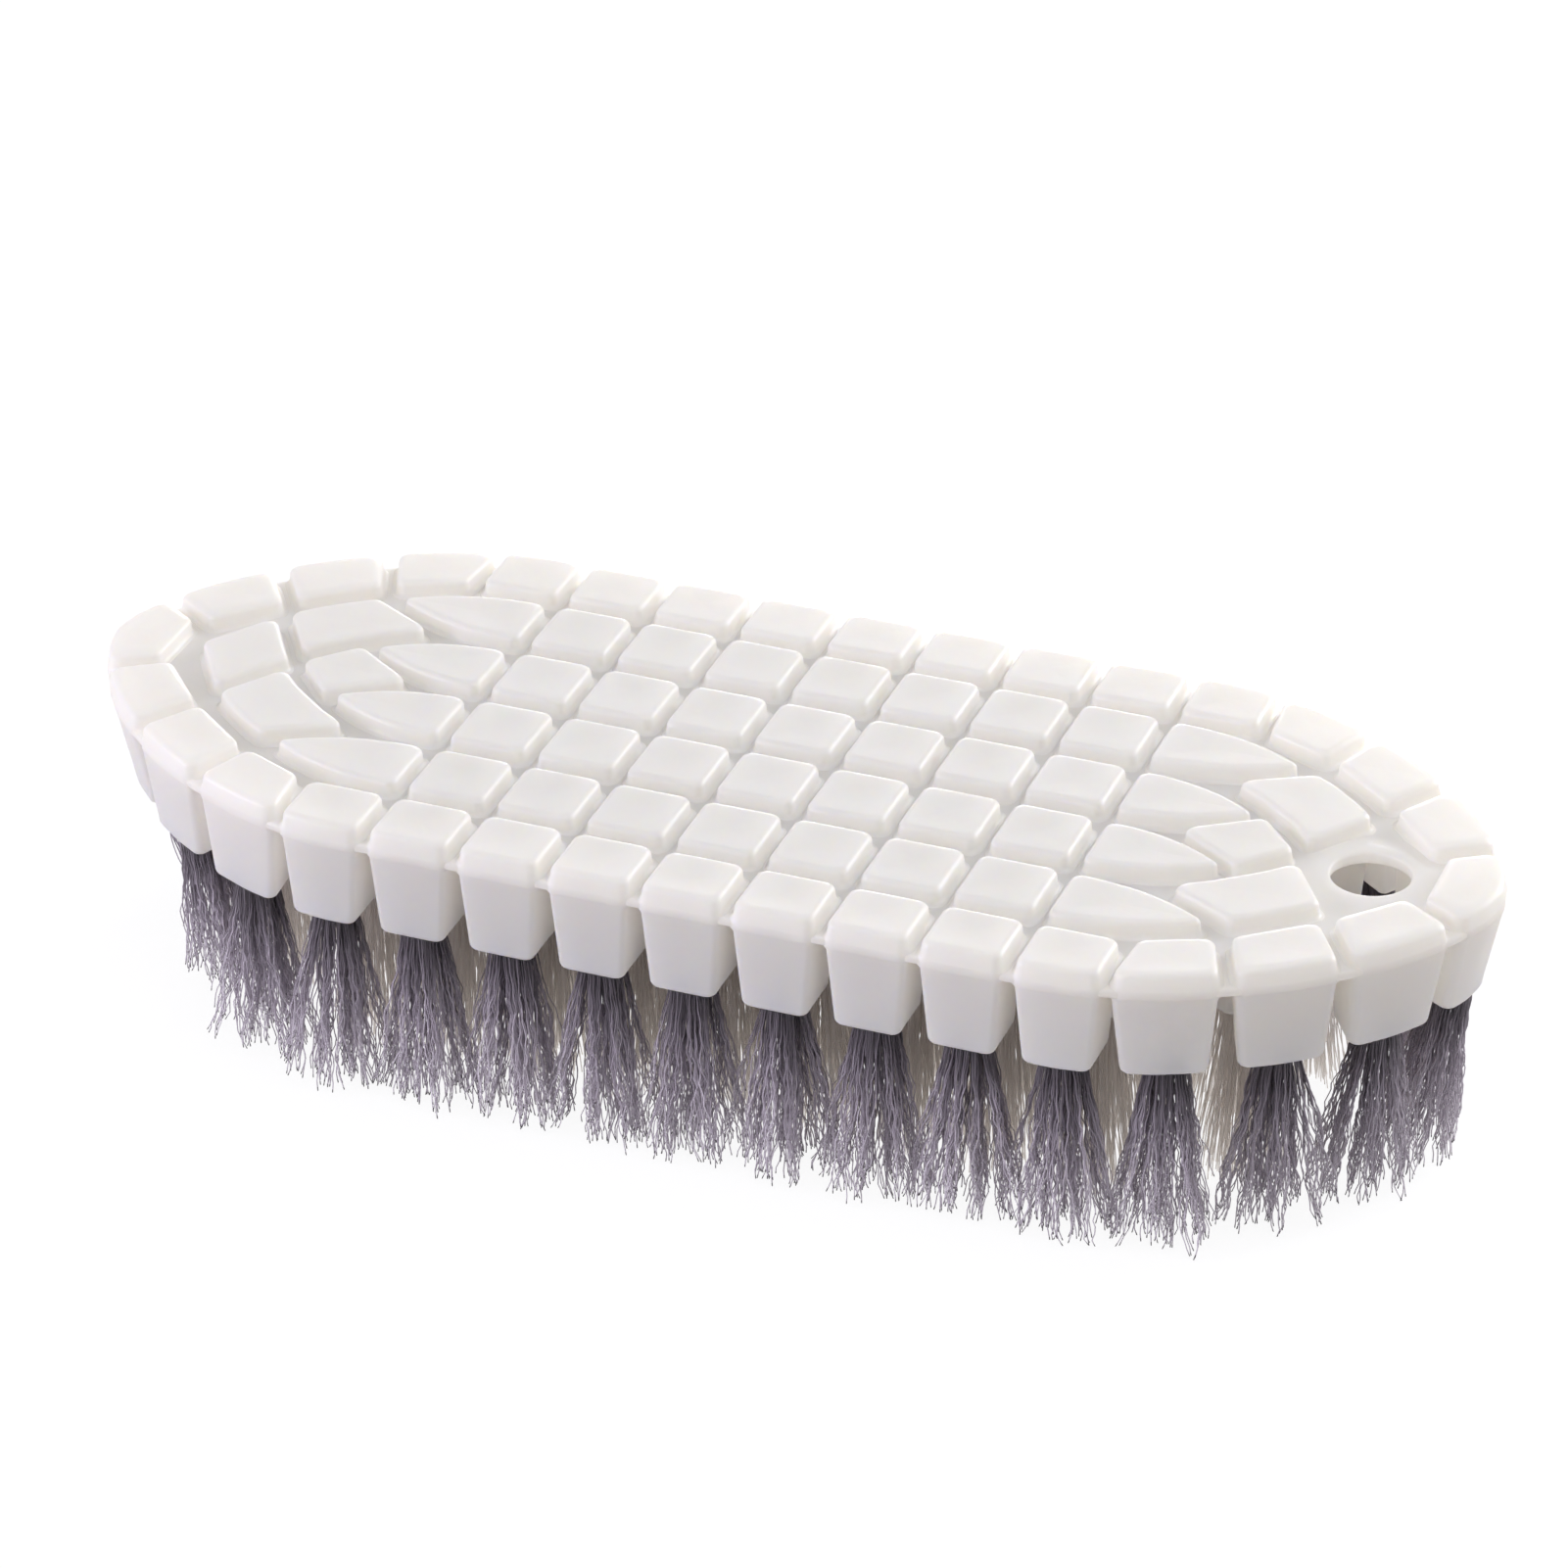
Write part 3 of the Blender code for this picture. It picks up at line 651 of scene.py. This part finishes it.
def filament_mesh(name, tufts, kind, material, rng):
    """All filaments of one colour on one segment: a three-sided tube round each centre line, a little thinner
    at its tip and closed at both ends, with the share of its length and its random number as attributes."""
    lines, tints = zip(*(filament_paths(*tuft, kind, rng) for tuft in tufts))
    lines, tints = np.concatenate(lines), np.concatenate(tints)
    share = np.linspace(0, 1, kind["stations"])
    radius = filament_radius * (root_thickness - thinning * share)
    turn = rng.uniform(0, 2 * np.pi, len(lines))[:, None] + np.arange(3) * 2 * np.pi / 3
    corner = np.stack((np.cos(turn), np.sin(turn), 0 * turn), -1)
    points = lines[:, :, None] + corner[:, None] * radius[:, None, None]
    index = np.arange(points[..., 0].size).reshape(points.shape[:3])
    after = np.roll(index, -1, 2)
    walls = np.stack((index[:, 1:], after[:, 1:], after[:, :-1], index[:, :-1]), -1).reshape(-1, 4)
    ends = np.concatenate((index[:, 0], index[:, -1, ::-1]))
    piece = make_piece(name, [(points.reshape(-1, 3), [walls, ends])], material)
    along = np.broadcast_to(share[None, :, None], index.shape)
    own = np.broadcast_to(tints[:, None, None], index.shape)
    for attribute, values in (("along", along), ("own", own)):
        layer = piece.data.attributes.new(attribute, "FLOAT", "POINT")
        layer.data.foreach_set("value", values.astype(np.float32).ravel())
    return piece


cut_face_share = 0.985


def filament_material(name, stops, spread, roughness, clearness):
    """Drawn nylon: a satin thread whose colour goes from its packed root to its tip by the ramp's
    stops, painted shade at the root and painted light towards the tip. A thread gets further along the
    stops or less far by its random number: its level is the share of its length times 1 + spread times the
    number less a half. The cut face at its tip is as dark as its root."""
    material = bpy.data.materials.new(name)
    material.use_nodes = True
    shader = material.node_tree.nodes["Principled BSDF"]
    shader.inputs["IOR"].default_value = 1.53
    shader.inputs["Roughness"].default_value = roughness
    along = add_node(material, "ShaderNodeAttribute", [("attribute_name", "along")])
    own = add_node(material, "ShaderNodeAttribute", [("attribute_name", "own")])
    shift = add_node(material, "ShaderNodeMath",
                     [("operation", "MULTIPLY_ADD"), (1, spread), (2, -spread / 2)],
                     [(0, own.outputs["Fac"])])
    level = add_node(material, "ShaderNodeMath", [("operation", "MULTIPLY_ADD")],
                     [(0, along.outputs["Fac"]), (1, shift.outputs["Value"]), (2, along.outputs["Fac"])])
    # The ramp paints shade at the packed root and light towards the thin tip
    ramp = add_node(material, "ShaderNodeValToRGB", links=[("Fac", level.outputs["Value"])])
    colour_stops(ramp, stops)
    at_tip = add_node(material, "ShaderNodeMath", [("operation", "GREATER_THAN"), (1, cut_face_share)],
                      [(0, along.outputs["Fac"])])
    painted_light_and_cut_face = add_node(material, "ShaderNodeMix", [("data_type", "RGBA"), ("B", linear(stops[0][1]))],
                    [("Factor", at_tip.outputs["Value"]), ("A", ramp.outputs["Color"])])
    material.node_tree.links.new(painted_light_and_cut_face.outputs["Result"], shader.inputs["Base Color"])
    let_light_through(material, clearness, stops[-1][1])
    return material


# Grey filaments are drawn from a nylon coloured through. Their ramp paints shade, charcoal violet, where
# they are packed at the root, and paints light, lilac to near white, where single threads let it through
# towards the tip. White ones are the same nylon left natural, a little warmer at the root, a faint painted
# warm shade.
grey_nylon = filament_material(
    "drawn_grey_nylon", [(0.0, "#433D41"), (0.25, "#827A83"), (0.5, "#C8BFC9"), (1.0, "#F5EFF5")],
    spread=1.1, roughness=0.28, clearness=0.26)
white_nylon = filament_material(
    "drawn_natural_nylon", [(0.0, "#FFF6EF"), (0.4, "#FFF9F4"), (1.0, "#FFFCF9")],
    spread=0.4, roughness=0.38, clearness=0.85)

random = np.random.default_rng(7)
for body, (rim, inner) in segments.items():
    grey = []
    for corners, on_edge, tuft, depth in rim:
        at_end, outward, lean = end_lean(corners, on_edge, tuft)
        inward, lift = end_tuft_tips[1 if tuft[0] > 0 else -1]
        grey.append((tuft + peg_depth * lean, outward, -outward * inward * at_end, lift * at_end))
    white = [(tuft, np.array((0.0, 1.0)), np.zeros(2), 0.0) for corners, on_edge, tuft, depth in inner]
    number = body.removeprefix("column_")
    if body.startswith("column"):
        grey_nodes = [f"front_tuft_{number}", f"rear_tuft_{number}"]
        white_nodes = [f"leaf_tuft_{number}_{row}" for row in (1, 2, 3, 4)] if number in "19" else []
    else:
        grey_nodes = [f"{body}_tuft_{count + 1}" for count in range(7)]
        white_nodes = [f"{body}_kite_tuft_1", f"{body}_kite_tuft_2", f"{body}_diamond_tuft_1"]
        white_nodes += ["plain_end_diamond_tuft_2"] if body == "plain_end" else []
    piece = filament_mesh(f"{body}_grey_filaments", grey, grey_tuft, grey_nylon, random)
    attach(piece, body)
    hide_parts(*grey_nodes)
    piece = filament_mesh(f"{body}_white_filaments", white, white_tuft, white_nylon, random)
    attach(piece, body)
    if white_nodes:
        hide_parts(*white_nodes)

# ---------------------------------------------------------------------------------------------------------
# Table and light: a plain white sweep under four soft boxes: a broad one overhead, one from the back right
# that draws the bright edges, a small low one behind, and a cool low one from the front left.
table_size = 4000.0
plain_share, card_glow = 0.8, 1.14
light_from_below, light_from_above = 0.08, 0.46
lit_height = 25.0
table_mesh = bpy.data.meshes.new("table")
table_corners = np.array(((-1, -1, 0), (1, -1, 0), (1, 1, 0), (-1, 1, 0))) * table_size / 2 * MM
table_mesh.from_pydata(table_corners, [], [(0, 1, 2, 3)])
table = bpy.data.objects.new("table", table_mesh)
bpy.context.scene.collection.objects.link(table)


def show_white(owner, output, own, white, share):
    """Mixes a share of a white shader into the owner's own, for rays that the camera sends straight, by a
    reflection or through something. Light that falls on the brush comes from the owner's own shader."""
    ray = add_node(owner, "ShaderNodeLightPath")
    direct = add_node(owner, "ShaderNodeMath", [("operation", "MAXIMUM")],
                      [(0, ray.outputs["Is Camera Ray"]), (1, ray.outputs["Is Glossy Ray"])])
    seen = add_node(owner, "ShaderNodeMath", [("operation", "MAXIMUM")],
                    [(0, direct.outputs["Value"]), (1, ray.outputs["Is Transmission Ray"])])
    part = add_node(owner, "ShaderNodeMath", [("operation", "MULTIPLY"), (1, share)],
                    [(0, seen.outputs["Value"])])
    mixed = add_node(owner, "ShaderNodeMixShader", links=[(0, part.outputs["Value"]), (1, own), (2, white)])
    owner.node_tree.links.new(mixed.outputs["Shader"], owner.node_tree.nodes[output].inputs["Surface"])


# Matt white card: it shows as plain white to the camera with a fifth of its own shading, so that it keeps
# the brush's shadow.
white_card = bpy.data.materials.new("matt_white_card")
white_card.use_nodes = True
table_mesh.materials.append(white_card)
card = white_card.node_tree.nodes["Principled BSDF"]
card.inputs["Base Color"].default_value = linear("#D2D0D6")
card.inputs["Roughness"].default_value = 0.9
glow = add_node(white_card, "ShaderNodeEmission", [("Color", (1, 1, 1, 1)), ("Strength", card_glow)])
show_white(white_card, "Material Output", card.outputs["BSDF"], glow.outputs["Emission"], plain_share)

# The room: walls that give more light from above than from below, and look plain white
world = bpy.data.worlds.new("white_room")
bpy.context.scene.world = world
world.use_nodes = True
room = world.node_tree.nodes["Background"]
direction = add_node(world, "ShaderNodeSeparateXYZ",
                     links=[(0, add_node(world, "ShaderNodeTexCoord").outputs["Generated"])])
height = add_node(world, "ShaderNodeMapRange", [("To Min", light_from_below), ("To Max", light_from_above)],
                  [("Value", direction.outputs["Z"])])
world.node_tree.links.new(height.outputs["Result"], room.inputs["Color"])
white = add_node(world, "ShaderNodeBackground", [("Color", (1, 1, 1, 1)), ("Strength", 1.0)])
show_white(world, "World Output", room.outputs["Background"], white.outputs["Background"], 1.0)

# Each soft box: its name, azimuth and elevation seen from the brush, distance, width, power and colour
for name, azimuth, elevation, distance, size, power, colour in (
    ("soft_box_overhead", 40.0, 78.0, 900.0, 700.0, 3.25, "#F8FAFF"),
    ("soft_box_back_right", 142.0, 20.0, 800.0, 400.0, 4.6, "#FDFDFF"),
    ("soft_box_behind", 196.0, 5.0, 900.0, 260.0, 2.2, "#FDFCFF"),
    ("soft_box_front_left", -60.0, 9.0, 1100.0, 700.0, 10.4, "#F1EDFF"),
):
    directions = turned_to_brush(azimuth, elevation)
    light = bpy.data.objects.new(name, bpy.data.lights.new(name, "AREA"))
    light.data.size = size * MM
    light.data.energy = power
    light.data.color = linear(colour)[:3]
    put(light, directions, directions[2] * distance + (0, 0, lit_height))

bpy.context.scene.view_settings.view_transform = "Standard"
